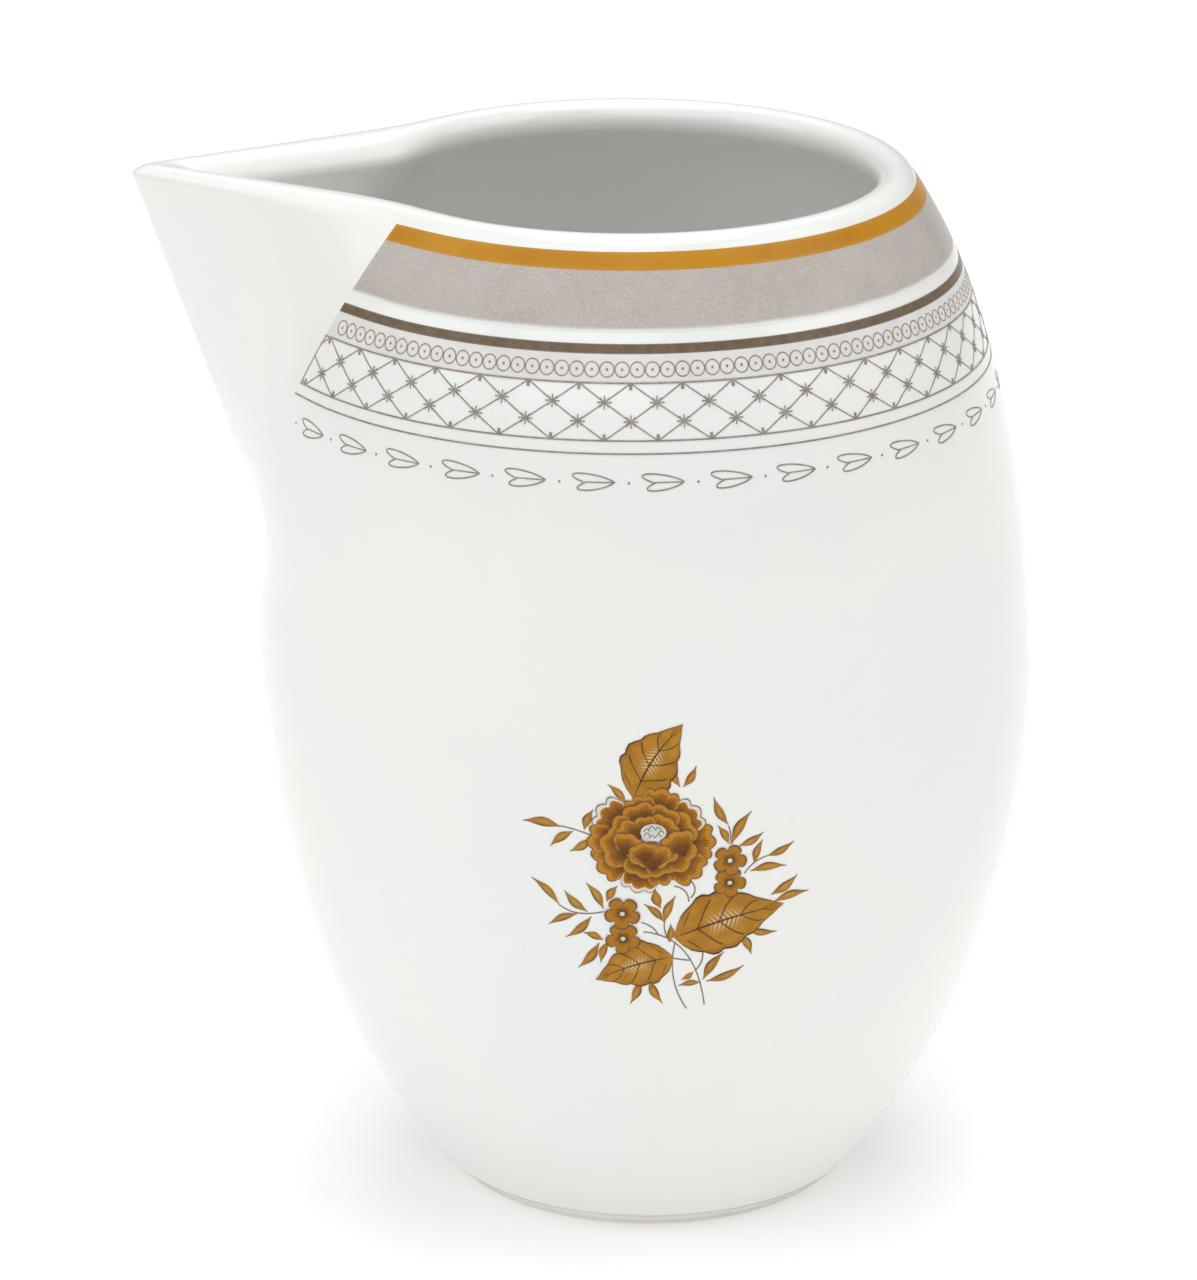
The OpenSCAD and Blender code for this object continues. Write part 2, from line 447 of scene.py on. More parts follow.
class Shader:
    """A new material, its main shader, and short ways to add nodes to it."""

    def __init__(self, name, constants):
        self.material = bpy.data.materials.new(name)
        self.material.use_nodes = True
        self.nodes = self.material.node_tree.nodes
        self.links = self.material.node_tree.links
        self.main = self.nodes["Principled BSDF"]
        for socket, value in constants.items():
            self.main.inputs[socket].default_value = value

    def node(self, kind, settings, sockets, output=0):
        """Adds a node: its settings first, then the value or link of each socket."""
        made = self.nodes.new(kind)
        for key, value in settings.items():
            if key == "stops":
                self._stops(made.color_ramp, value)
            else:
                setattr(made, key, value)
        named = sockets.items() if isinstance(sockets, dict) else enumerate(sockets)
        for key, value in named:
            self.put(made.inputs[key], value)
        return Wire(self, made.outputs[output])

    def _stops(self, ramp, stops):
        while len(ramp.elements) < len(stops):
            ramp.elements.new(1.0)
        for element, (position, colour) in zip(ramp.elements, stops):
            element.position, element.color = position, colour

    def put(self, socket, value):
        if isinstance(value, Wire):
            self.links.new(value.socket, socket)
        else:
            socket.default_value = value

    def set(self, socket, value):
        self.put(self.main.inputs[socket], value)

    def mix(self, factor, a, b):
        """Colour a where factor is 0 and colour b where it is 1."""
        sockets = {"Factor": factor, 6: a, 7: b}
        return self.node("ShaderNodeMix", {"data_type": "RGBA"}, sockets, 2)

    def place(self, kind, scale=(1, 1, 1)):
        """Object or UV coordinates, stretched by scale."""
        where = self.node("ShaderNodeTexCoord", {}, {}, kind)
        return self.node("ShaderNodeMapping", {}, {"Vector": where, "Scale": scale})

    def noise(self, vector, scale, detail=3.0, roughness=0.55):
        sockets = {"Vector": vector, "Scale": scale, "Detail": detail, "Roughness": roughness}
        return self.node("ShaderNodeTexNoise", {}, sockets)

    def bump(self, height, strength, distance):
        sockets = {"Height": height, "Strength": strength, "Distance": distance}
        self.set("Normal", self.node("ShaderNodeBump", {}, sockets))


def paint(red, green, blue):
    """A colour given as on a paint chart, 0 to 255, as the linear colour that shaders use."""
    def linear(c):
        c /= 255
        return c / 12.92 if c <= 0.04045 else ((c + 0.055) / 1.055) ** 2.4
    return (linear(red), linear(green), linear(blue), 1.0)


# %% [markdown]
# ## Glaze and bare clay
#
# Hard porcelain is a cool white with a clear gloss. It isn't perfectly even: the glaze is a little
# thicker in some places, which shifts its tone by a hair, and its surface has a faint waviness and
# a few pinprick specks. The foot ring is wiped free of glaze, so it is matt, warmer and finely
# grained.

# %% The porcelain materials
porcelain_white = paint(236, 238, 235)


def make_glaze():
    glaze = Shader("glaze", {"IOR": 1.45, "Coat Weight": 0.12, "Coat Roughness": 0.05})
    where = glaze.place("Object")
    clouds = glaze.noise(where, 28.0)
    specks = glaze.noise(where, 900.0, 1.0).step(0.76, 0.80)
    tone = glaze.mix(clouds.step(0.35, 0.65), paint(238, 241, 238), paint(242, 241, 237))
    glaze.set("Base Color", glaze.mix(specks * 0.12, tone, paint(196, 190, 178)))
    glaze.set("Roughness", 0.13 + 0.06 * clouds)
    glaze.bump(glaze.noise(where, 60.0, 2.0), 0.05, 0.0004)
    return glaze.material


def make_bare_clay():
    clay = Shader("bare_clay", {"IOR": 1.45})
    where = clay.place("Object")
    grain = clay.noise(where, 2600.0, 4.0)
    stain = clay.noise(where, 150.0, 2.0)
    clean = clay.mix(grain.step(0.3, 0.7), paint(236, 232, 225), paint(244, 241, 235))
    clay.set("Base Color", clay.mix(stain.step(0.5, 0.8) * 0.4, clean, paint(222, 214, 202)))
    clay.set("Roughness", 0.62 + 0.25 * grain)
    clay.bump(grain, 0.35, 0.00012)
    return clay.material


glaze = make_glaze()
bare_clay = make_bare_clay()

# %% The body and the spout
body = new_piece("jug_body", cut_piece(vessel, False), [glaze], "glazed_porcelain", "jug_body")
spout = new_piece("pouring_spout", cut_piece(vessel, True), [glaze], "glazed_porcelain",
                  "pouring_spout")
vessel.free()
for piece in (body, spout):
    keep_shading(piece)

# %% [markdown]
# ## The foot ring
#
# The ring is spun from its cross-section: flat where it stands, rounded at its two lower edges,
# and carried up to the underside of the body.

# %% Spin the foot ring
foot_radius = 20.8
foot_width = 3.4
foot_edge = 0.5


def foot_section():
    """Cross-section of the ring as radius and height, from the inner top round to the outer top."""
    inner = foot_radius - foot_width
    quarter = [math.radians(a) for a in range(0, 91, 15)]
    left = [(inner + foot_edge - foot_edge * math.cos(a), foot_edge - foot_edge * math.sin(a))
            for a in quarter]
    outer = foot_radius - foot_edge
    right = [(outer + foot_edge * math.sin(a), foot_edge - foot_edge * math.cos(a))
             for a in quarter]
    return [(inner, foot_height)] + left + right + [(base_radius, foot_height)]


def make_foot():
    bm = bmesh.new()
    ring = [bm.verts.new((r, 0, z)) for r, z in foot_section()]
    edges = [bm.edges.new(pair) for pair in zip(ring, ring[1:] + ring[:1])]
    bmesh.ops.spin(bm, geom=ring + edges, axis=(0, 0, 1), cent=(0, 0, 0), steps=192,
                   angle=2 * math.pi, use_merge=True)
    bmesh.ops.remove_doubles(bm, verts=bm.verts[:], dist=1e-4)
    bmesh.ops.recalc_face_normals(bm, faces=bm.faces[:])
    bmesh.ops.scale(bm, verts=bm.verts[:], vec=(MM, MM, MM))
    return bm


foot = new_piece("foot_ring", make_foot(), [bare_clay], "bare_porcelain", "foot_ring")
foot.data.set_sharp_from_angle(angle=math.radians(40))

# %% [markdown]
# ## Printing on a curved wall
#
# A printed transfer is drawn flat and then laid on the jug, and so is every print here. Flat
# drawings use degrees around the jug as x, height in millimetres as y and height above the glaze as
# z. Each drawing is made of small grid patches that a formula bends into a band, a line, a leaf or
# a petal. All patches get a thickness of a few hundredths of a millimetre, and one function then
# wraps the finished drawing round the body.

# %% From flat drawing to the wall
print_thickness = 0.03
print_sink = 0.012


def wrap(flat):
    """The point on the jug for a point of a flat drawing."""
    angle = math.remainder(math.radians(flat.x - 180), 2 * math.pi)
    reach = outer_reach(angle, flat.y) + flat.z * math.sqrt(1 + slope(flat.y) ** 2)
    return place(angle, reach, flat.y) * MM


def degrees_per_mm(z):
    """Degrees round the jug that one millimetre takes at height z."""
    return math.degrees(1 / outer_radius(z))


def new_drawing():
    bm = bmesh.new()
    bm.loops.layers.uv.new("print")
    return bm


def patch(bm, columns, rows, shape, material=0):
    """Adds a grid patch. shape(u, v) gives its flat place, with u and v from 0 to 1."""
    made = bmesh.ops.create_grid(bm, x_segments=columns, y_segments=rows, size=0.5,
                                 calc_uvs=True)
    for v in made["verts"]:
        v.co = shape(v.co.x + 0.5, v.co.y + 0.5)
    for face in {f for v in made["verts"] for f in v.link_faces}:
        face.material_index = material
    return made["verts"]


def print_piece(name, bm, materials, slot, *nodes):
    """Thickens a flat drawing, wraps it round the jug and makes it a piece."""
    drawn = bm.faces[:]
    extruded = bmesh.ops.extrude_face_region(bm, geom=drawn)["geom"]
    raised = [v for v in extruded if isinstance(v, bmesh.types.BMVert)]
    bmesh.ops.translate(bm, verts=raised, vec=(0, 0, print_thickness + print_sink))
    bmesh.ops.translate(bm, verts=bm.verts[:], vec=(0, 0, -print_sink))
    bmesh.ops.recalc_face_normals(bm, faces=bm.faces[:])
    for v in bm.verts:
        v.co = wrap(v.co)
    piece = new_piece(name, bm, materials, slot, *nodes)
    piece.data.set_sharp_from_angle(angle=math.radians(35))
    return piece


# %% [markdown]
# ## The plain bands
#
# Three plain bands run round the jug from one side of the spout to the other: golden ochre close
# to the lip, a broad warm grey and a thin taupe line. Their ends follow the spout's root, which
# opens towards the lip, so the ends slope. Behind the row of beads lies a pale grey band of
# painted shade, darker than the glaze, for the shade on the shoulder there.

# %% Ends of the border, and a band
border_gap = 0.6
band_columns = 300


def border_end(z):
    """Angle from the spout at which the border ends, in degrees."""
    return math.degrees(opening_angle(z, spout_angle, spout_power)) + border_gap


def band(bm, low, high, rows, lift=0.0, material=0):
    """A band from low to high that runs round the jug to both sides of the spout."""
    def shape(u, v):
        z = low + (high - low) * v
        start = 180 + border_end(z)
        return Vector((start + u * (360 - 2 * border_end(z)), z, lift))
    patch(bm, band_columns, rows, shape, material)


def node_levels(node):
    """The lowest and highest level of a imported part, in millimetres."""
    low, high = box_mm(node)
    return low.z, high.z


ochre_low, ochre_high = node_levels("ochre_band")
grey_low, grey_high = node_levels("grey_band")
taupe_low, taupe_high = node_levels("taupe_line")
beads_low, beads_high = node_levels("bead_border")
lattice_low, lattice_high = node_levels("lattice_border")
leaves_low, leaves_high = node_levels("leaf_border")
print("border runs from", round(leaves_low, 1), "to", round(ochre_high, 1), "mm")

# %% [markdown]
# ## Inks of the bands
#
# Printed ink shines more softly than the glaze around it, and all the inks share that shine. The
# ochre is a little lighter where it thins out at its edges. The grey has a fine linen grain and
# fades out at its lower edge. The taupe line is stippled with a crossed grain.

# %% Ink materials
grain_around = 154.0
grain_up = 26.0


def ink(name):
    shine = {"Roughness": 0.3, "Specular IOR Level": 0.15, "Coat Weight": 0.06}
    return Shader(name, shine)


def along_and_up(shader):
    """The u and v of a print's own map, u round the jug and v up."""
    along = shader.node("ShaderNodeSeparateXYZ", {}, [shader.place("UV")])
    return along, Wire(shader, along.socket.node.outputs["Y"])


def make_ochre_ink():
    ochre = ink("ochre_ink")
    _, up = along_and_up(ochre)
    where = ochre.place("Object")
    brushed = ochre.noise(where, 700.0, 4.0)
    clouds = ochre.noise(where, 90.0, 2.0)
    edge = abs(up - 0.5).step(0.22, 0.5)
    middle = ochre.mix(clouds.step(0.35, 0.65), paint(186, 127, 26), paint(196, 138, 36))
    tone = ochre.mix(edge * 0.7, middle, paint(196, 142, 52))
    ochre.set("Base Color", ochre.mix(brushed.step(0.5, 0.8) * 0.35, tone, paint(164, 108, 30)))
    return ochre.material


def make_grey_ink():
    grey = ink("grey_ink")
    _, up = along_and_up(grey)
    around = grey.noise(grey.place("UV", (grain_around, grain_up, 1)), 1.0, 3.0)
    specks = grey.noise(grey.place("Object"), 4200.0, 2.0)
    clouds = grey.noise(grey.place("Object"), 160.0, 3.0)
    grain = 0.2 * around + 0.5 * specks + 0.3 * clouds
    tone = grey.mix(grain.step(0.38, 0.62), paint(178, 170, 163), paint(194, 186, 180))
    fade = 1 - (up + 0.06 * clouds - 0.03).step(0.0, 0.1)
    grey.set("Base Color", grey.mix(fade, tone, porcelain_white))
    return grey.material


def make_taupe_ink():
    taupe = ink("taupe_ink")
    around, up = along_and_up(taupe)
    crossed = (around * 2600.0).sine() * (up * 22.0).sine()
    clouds = taupe.noise(taupe.place("Object"), 1200.0, 3.0)
    grain = (crossed * 0.25 + clouds).step(0.3, 0.75)
    edge = abs(up - 0.5).step(0.36, 0.5)
    tone = taupe.mix(grain, paint(104, 88, 70), paint(124, 108, 90))
    taupe.set("Base Color", taupe.mix(edge * 0.5, tone, paint(160, 150, 140)))
    return taupe.material


def make_plain_ink(name, first, second, scale=1100.0, high=0.65):
    """An ink that drifts between two close tones."""
    made = ink(name)
    clouds = made.noise(made.place("Object"), scale, 3.0)
    made.set("Base Color", made.mix(clouds.step(0.35, high), first, second))
    return made.material


ochre_ink = make_ochre_ink()
grey_ink = make_grey_ink()
taupe_ink = make_taupe_ink()
line_ink = make_plain_ink("line_ink", paint(142, 132, 120), paint(166, 156, 145), 1500.0, 0.7)
# Painted shade: a pale grey, darker than the glaze, for the band behind the beads
painted_shade_tint = make_plain_ink("painted_shade_tint", paint(222, 219, 216), paint(228, 226, 223), 250.0)

# %% The three bands
for name, low, high, rows, material, slot in (
        ("ochre_band", ochre_low, ochre_high, 4, ochre_ink, "ochre_print"),
        ("grey_band", grey_low, grey_high, 8, grey_ink, "grey_print"),
        ("taupe_line", taupe_low, taupe_high, 4, taupe_ink, "taupe_print")):
    drawing = new_drawing()
    band(drawing, low, high, rows)
    print_piece(name, drawing, [material], slot, name)

# %% [markdown]
# ## The row of beads
#
# Under the taupe line runs a chain of small rings that touch each other, each with a dot in its
# middle. A ring is a patch bent into a circle. Because there are over a hundred of them, each
# is drawn with few faces.

# %% Rings, dots and the painted shade behind them
bead_count = 148
bead_outer = 0.76
bead_line = 0.12
bead_dot = 0.14
bead_margin = 0.9
dot_hole = 0.01
line_lift = 0.02


def ring(bm, x, y, outer, width, segments=16, lift=0.0):
    """A flat ring with its centre at x degrees and y millimetres."""
    per_mm = degrees_per_mm(y)

    def shape(u, v):
        turn, radius = 2 * math.pi * u, outer - width * v
        return Vector((x + radius * math.cos(turn) * per_mm, y + radius * math.sin(turn), lift))
    verts = patch(bm, segments, 1, shape)
    bmesh.ops.remove_doubles(bm, verts=verts, dist=1e-5)


def inside_border(x, y):
    """True where the border is printed, away from the spout."""
    return border_end(y) < x - 180 < 360 - border_end(y)


def fits_border(x, y, margin):
    """True where the border is printed as far as margin degrees to both sides."""
    return inside_border(x - margin, y) and inside_border(x + margin, y)


def make_beads():
    bm = new_drawing()
    middle = (beads_low + beads_high) / 2
    # A pale grey band of painted shade behind the rings, darker than the glaze
    band(bm, lattice_high + 0.05, taupe_low - 0.02, rows=3, material=1)
    for i in range(bead_count):
        x = 180 + 360 * (i + 0.5) / bead_count
        if fits_border(x, middle, bead_margin):
            ring(bm, x, middle, bead_outer, bead_line, lift=line_lift)
            ring(bm, x, middle, bead_dot, bead_dot - dot_hole, segments=8, lift=line_lift)
    return bm


print_piece("bead_border", make_beads(), [line_ink, painted_shade_tint], "line_print", "bead_border")

# %% [markdown]
# ## The lattice
#
# Two sets of slanting lines cross between an upper and a lower line. At each inner crossing sits a
# small star of eight rays, and short ticks mark the points at the edges. One thin line more runs
# below. Long lines are patches one column wide, cut into short steps so that they follow the wall.

# %% Lines, stars and ticks
line_step = 1.2
clip_steps = 60


def line(bm, start, end, width, lift=0.0):
    """A straight line of ink between two (degrees, millimetres) places."""
    per_mm = degrees_per_mm((start[1] + end[1]) / 2)
    dx, dy = (end[0] - start[0]) / per_mm, end[1] - start[1]
    length = math.hypot(dx, dy)
    side_x, side_y = -dy / length * width * per_mm, dx / length * width

    def shape(u, v):
        x = start[0] + (end[0] - start[0]) * v + side_x * (u - 0.5)
        y = start[1] + dy * v + side_y * (u - 0.5)
        return Vector((x, y, lift))
    patch(bm, 1, max(round(abs(end[0] - start[0]) / line_step), 1), shape)


def clipped(start, end):
    """The part of a line that lies inside the border, or None."""
    inside = [t / clip_steps for t in range(clip_steps + 1)
              if inside_border(start[0] + (end[0] - start[0]) * t / clip_steps,
                               start[1] + (end[1] - start[1]) * t / clip_steps)]
    if len(inside) < 2:
        return None
    return [tuple(s + (e - s) * t for s, e in zip(start, end)) for t in (inside[0], inside[-1])]


lattice_count = 44
lattice_line = 0.12
lattice_start = -0.48
lattice_foot = 1.35
star_rays = ((0.72, 0), (0.46, 0.42), (0, 0.62), (-0.46, 0.42))
star_line = 0.12
star_margin = 1.5
star_lift = 0.03
rail_width = 0.15
tick_width = 0.3
tick_length = 0.6
end_gap = 0.25


def star(bm, x, y):
    """A star of eight rays, as four lines across its middle."""
    per_mm = degrees_per_mm(y)
    for ray_x, ray_y in star_rays:
        ends = (x - ray_x * per_mm, y - ray_y), (x + ray_x * per_mm, y + ray_y)
        line(bm, *ends, star_line, star_lift)


def make_lattice():
    bm = new_drawing()
    top, bottom = lattice_high - 0.1, lattice_low + lattice_foot
    pitch = 360 / lattice_count
    for rail in (top, bottom, lattice_low + 0.12):
        half = rail_width / 2
        band(bm, rail - half, rail + half, rows=1, lift=line_lift)
    for i in range(-2, lattice_count + 2):
        x = 180 + pitch * (i + 0.5 + lattice_start)
        for way in (-1, 1):
            ends = clipped((x, top), (x + way * 1.5 * pitch, bottom))
            if ends:
                line(bm, *ends, lattice_line, 0.01)
        for row, shift in ((1, 0.5), (2, 0.0)):
            star_x, star_y = x + shift * pitch, top + (bottom - top) * row / 3
            if fits_border(star_x, star_y, star_margin):
                star(bm, star_x, star_y)
        for tick_x, tick_y, way in ((x, top, -1), (x + 0.5 * pitch, bottom, 1)):
            if inside_border(tick_x, tick_y):
                tick_end = (tick_x, tick_y + way * tick_length)
                line(bm, (tick_x, tick_y), tick_end, tick_width, star_lift)
    for side in (-1, 1):
        ends = [((180 + side * (border_end(y) + end_gap)) % 360, y) for y in (top, bottom)]
        line(bm, *ends, lattice_line, line_lift)
    return bm


print_piece("lattice_border", make_lattice(), [line_ink], "line_print", "lattice_border")

# %% [markdown]
# ## The row of leaves
#
# Below the lattice, small pairs of leaf lobes point round the jug, with a dot between each two.
# Only their outlines are drawn, so a lobe is a thin strip bent along a leaf's edge.

# %% Lobes and dots
motif_pitch = 360 / 35
motif_first = 202.8
motif_line = 0.14
motif_margin = 3
dot_margin = 1
dot_radius = 0.13
lobe_steps = 14
# Length and height of the upper and the lower lobe, and where the line between them runs
upper_lobe = (4.1, 0.88)
lower_lobe = (3.6, 0.86)
lobe_shift = 0.2
middle_line = (-1.0, 1.9)


def curve_line(bm, path, width, steps_along, lift=0.0, material=0):
    """A line of ink along path(t), which gives a flat place and the degrees per millimetre."""
    def shape(u, v):
        x, y, per_mm = path(v)
        ahead, behind = path(min(v + 0.01, 1)), path(max(v - 0.01, 0))
        dx, dy = (ahead[0] - behind[0]) / per_mm, ahead[1] - behind[1]
        length = max(math.hypot(dx, dy), 1e-6)
        aside = width * (u - 0.5)
        return Vector((x - dy / length * aside * per_mm, y + dx / length * aside, lift))
    patch(bm, 1, steps_along, shape, material)


def lobe(x, y, length, height, side):
    """The outline of one lobe: a curve from the tip out round its far end and back to a notch."""
    per_mm = degrees_per_mm(y)
    reins = ((0.5, 0.0), (0.12, 1.2), (-1.02, 1.3), (-0.26, 0.0))

    def path(t):
        weights = ((1 - t) ** 3, 3 * t * (1 - t) ** 2, 3 * t * t * (1 - t), t ** 3)
        px = length * sum(w * rein[0] for w, rein in zip(weights, reins))
        py = side * height * sum(w * rein[1] for w, rein in zip(weights, reins))
        return x + px * per_mm, y + py, per_mm
    return path


def make_leaf_row():
    bm = new_drawing()
    y = (leaves_low + leaves_high) / 2
    per_mm = degrees_per_mm(y)
    count = int((360 - 2 * border_end(y)) / motif_pitch) + 2
    for i in range(-1, count):
        x = motif_first + i * motif_pitch
        if fits_border(x, y, motif_margin):
            curve_line(bm, lobe(x, y, *upper_lobe, 1), motif_line, lobe_steps)
            lower = lobe(x + lobe_shift * per_mm, y, *lower_lobe, -1)
            curve_line(bm, lower, motif_line, lobe_steps, 0.005)
            ends = [(x + reach * per_mm, y) for reach in middle_line]
            line(bm, *ends, motif_line * 0.8, 0.01)
        dot_x = x + motif_pitch / 2
        if fits_border(dot_x, y, dot_margin):
            ring(bm, dot_x, y - 0.05, dot_radius, 0.12, segments=10)
    return bm


print_piece("leaf_border", make_leaf_row(), [line_ink], "line_print", "leaf_border")

# %% [markdown]
# ## The bouquet
#
# One printed bouquet decorates the front: a full peony, four small blossoms, three broad leaves and
# a ring of slim leaves on thin stems. All of them are drawn flat in millimetres around the middle
# of the bouquet. A leaf is a patch whose width swells and closes again, and a petal is a patch bent
# into a fan with a scalloped edge. Each patch keeps its own map, u across and v along, and the inks
# use it for veins, hatching, pale rims and dark outlines, as an engraver would cut them.

# %% Flat places of the bouquet
bouquet_angle = 273.0
bouquet_z = 47.0


def spray(x, y, lift=0.0):
    """A flat drawing's place for millimetres to the right of and above the bouquet's middle."""
    z = bouquet_z + y
    return Vector((bouquet_angle + x * degrees_per_mm(z), z, lift))


# %% Leaf and petal shapes
def leaf(bm, base, tip, width, bow=0.0, lobes=0, lift=0.0, material=0, fullness=0.9,
         taper=1.6):
    """A leaf from base to tip. bow curves it sideways and lobes gives its edge a wavy outline."""
    along = Vector((tip[0] - base[0], tip[1] - base[1]))
    side = Vector((-along.y, along.x)).normalized()

    def shape(u, v):
        swell = math.sin(math.pi * v ** fullness) ** taper if 0 < v < 1 else 0.0
        wave = 1 + 0.16 * abs(math.sin(math.pi * lobes * v)) if lobes else 1.0
        across = (u - 0.5) * max(width * swell * wave, 0.04)
        centre = Vector(base) + along * v + side * bow * along.length * math.sin(math.pi * v)
        point = centre + side * across
        return spray(point.x, point.y, lift)
    fine = 2 if lobes else 1
    patch(bm, 4 * fine, 9 * fine, shape, material)


def petal(bm, base, direction, start, reach, spread, scallops=3, lift=0.0, material=0,
          round_off=0.2):
    """A fan-shaped petal around base. direction and spread are in degrees."""
    def shape(u, v):
        side = 2 * u - 1
        turn = math.radians(direction + side * spread / 2 * (0.72 + 0.28 * math.sin(v * 1.57)))
        notch = 1 - abs(math.sin(math.pi * scallops * u))
        rim = reach * (1 - round_off * side ** 4 - 0.08 * notch)
        radius = start + (rim - start) * v
        return spray(base[0] + radius * math.cos(turn), base[1] + radius * math.sin(turn), lift)
    patch(bm, 7 * scallops, 7, shape, material)


def disc(bm, x, y, radius, lift=0.0, material=0, height=1.0):
    """A small round dot of ink, drawn as a ring with almost no hole."""
    def shape(u, v):
        turn = 2 * math.pi * u
        r = radius * (0.02 + 0.98 * v)
        return spray(x + r * math.cos(turn), y + height * r * math.sin(turn), lift)
    verts = patch(bm, 14, 1, shape, material)
    bmesh.ops.remove_doubles(bm, verts=verts, dist=1e-5)


def stem(bm, points, width=0.13, lift=0.0, material=0):
    """A thin line of ink on a smooth curve from the first point past the middle one to the last."""
    (ax, ay), (bx, by), (cx, cy) = points

    def path(t):
        a, b, c = (1 - t) ** 2, 2 * t * (1 - t), t * t
        px, py = 2 * bx - (ax + cx) / 2, 2 * by - (ay + cy) / 2
        place_at = spray(a * ax + b * px + c * cx, a * ay + b * py + c * cy)
        return place_at.x, place_at.y, degrees_per_mm(place_at.y)
    curve_line(bm, path, width, 12, lift, material)


# %% [markdown]
# ## Inks of the bouquet
#
# The flowers are golden ochre. Dark brown hatching spreads from the foot of each petal, the outer
# petals keep a narrow white rim inside a fine outline, and the leaves have a dark outline, veins
# and a paler patch along the middle.

# %% Petal, leaf and blossom inks
DARK = paint(74, 46, 18)
OUTLINE = paint(98, 76, 52)


def make_petal_ink(name, rim_colour, rim_start, edge_start, foot=0.42):
    """Ink of a petal: dark at its foot, hatched, golden, with a rim and an outline."""
    made = ink(name)
    across, along = along_and_up(made)
    where = made.place("Object")
    clouds = made.noise(where, 900.0, 3.0)
    uneven = made.noise(made.place("UV", (9, 1, 1)), 1.0, 1.0)
    reach = along + (uneven - 0.5) * 0.5
    stops = [(0.0, paint(96, 56, 10)), (foot, paint(122, 74, 12)),
             (foot + 0.22, paint(164, 104, 18)), (foot + 0.4, paint(192, 130, 30)),
             (1.0, paint(184, 122, 26))]
    tone = made.node("ShaderNodeValToRGB", {"stops": stops}, [along + (clouds - 0.5) * 0.2])
    stripes = ((across * 96.0).sine() > 0.3) * (reach < 0.8)
    tone = made.mix(stripes * 0.6, tone, DARK)
    rim = (reach - along) * 0.1 + along > rim_start
    tone = made.mix(rim, tone, rim_colour)
    edge = (along > edge_start) + (abs(across - 0.5) > 0.48)
    made.set("Base Color", made.mix((edge > 0.5) * 0.85, tone, OUTLINE))
    return made.material


def make_leaf_ink(name, veins, pale):
    """Ink of a leaf: outlined and veined, or shaded along its sides and tip where veins is 0."""
    made = ink(name)
    across, along = along_and_up(made)
    clouds = made.noise(made.place("Object"), 700.0, 3.0)
    tone = made.mix(clouds.step(0.3, 0.7), paint(166, 114, 28), paint(184, 130, 40))
    side = abs(across - 0.5) * 2
    body = (1 - side.step(0.05, 0.42)) * along.step(0.25, 0.42) * (1 - along.step(0.5, 0.72))
    hatch = ((along * 150.0 + side * 24.0).sine()).step(-0.4, 0.6)
    tone = made.mix(body * hatch * pale, tone, paint(220, 200, 160))
    tone = made.mix(side.step(0.7, 1.0) * 0.45, tone, paint(128, 80, 24))
    if veins:
        slant = ((along - side * 0.22) * veins).fraction()
        vein = (slant < 0.10) * (side < 0.82) * (along > 0.1)
        rib = (side < 0.035) * (along < 0.93)
        tone = made.mix(vein * 0.75, tone, DARK)
        tone = made.mix(rib * 0.9, tone, DARK)
        tone = made.mix((side > 0.94) * 0.85, tone, DARK)
    else:
        tone = made.mix((across > 0.84) * 0.85, tone, paint(86, 64, 40))
        tone = made.mix((across < 0.1) * 0.4, tone, paint(112, 84, 48))
        tone = made.mix((along > 0.86) * 0.6, tone, paint(96, 70, 38))
    made.set("Base Color", tone)
    return made.material


petal_ink = make_petal_ink("petal_ink", paint(186, 128, 48), 0.88, 0.95)
rim_petal_ink = make_petal_ink("rim_petal_ink", paint(222, 216, 206), 0.82, 0.955)
blossom_ink = make_petal_ink("blossom_ink", paint(168, 112, 28), 0.8, 0.9, 0.12)
leaf_ink = make_leaf_ink("leaf_ink", 0, 0.45)
broad_leaf_ink = make_leaf_ink("broad_leaf_ink", 5, 0.85)
stem_ink = make_plain_ink("stem_ink", paint(116, 108, 98), paint(136, 127, 114))
dark_ink = make_plain_ink("dark_ink", DARK, paint(124, 88, 50))
white_ink = make_plain_ink("white_ink", paint(208, 206, 202), paint(220, 218, 214))

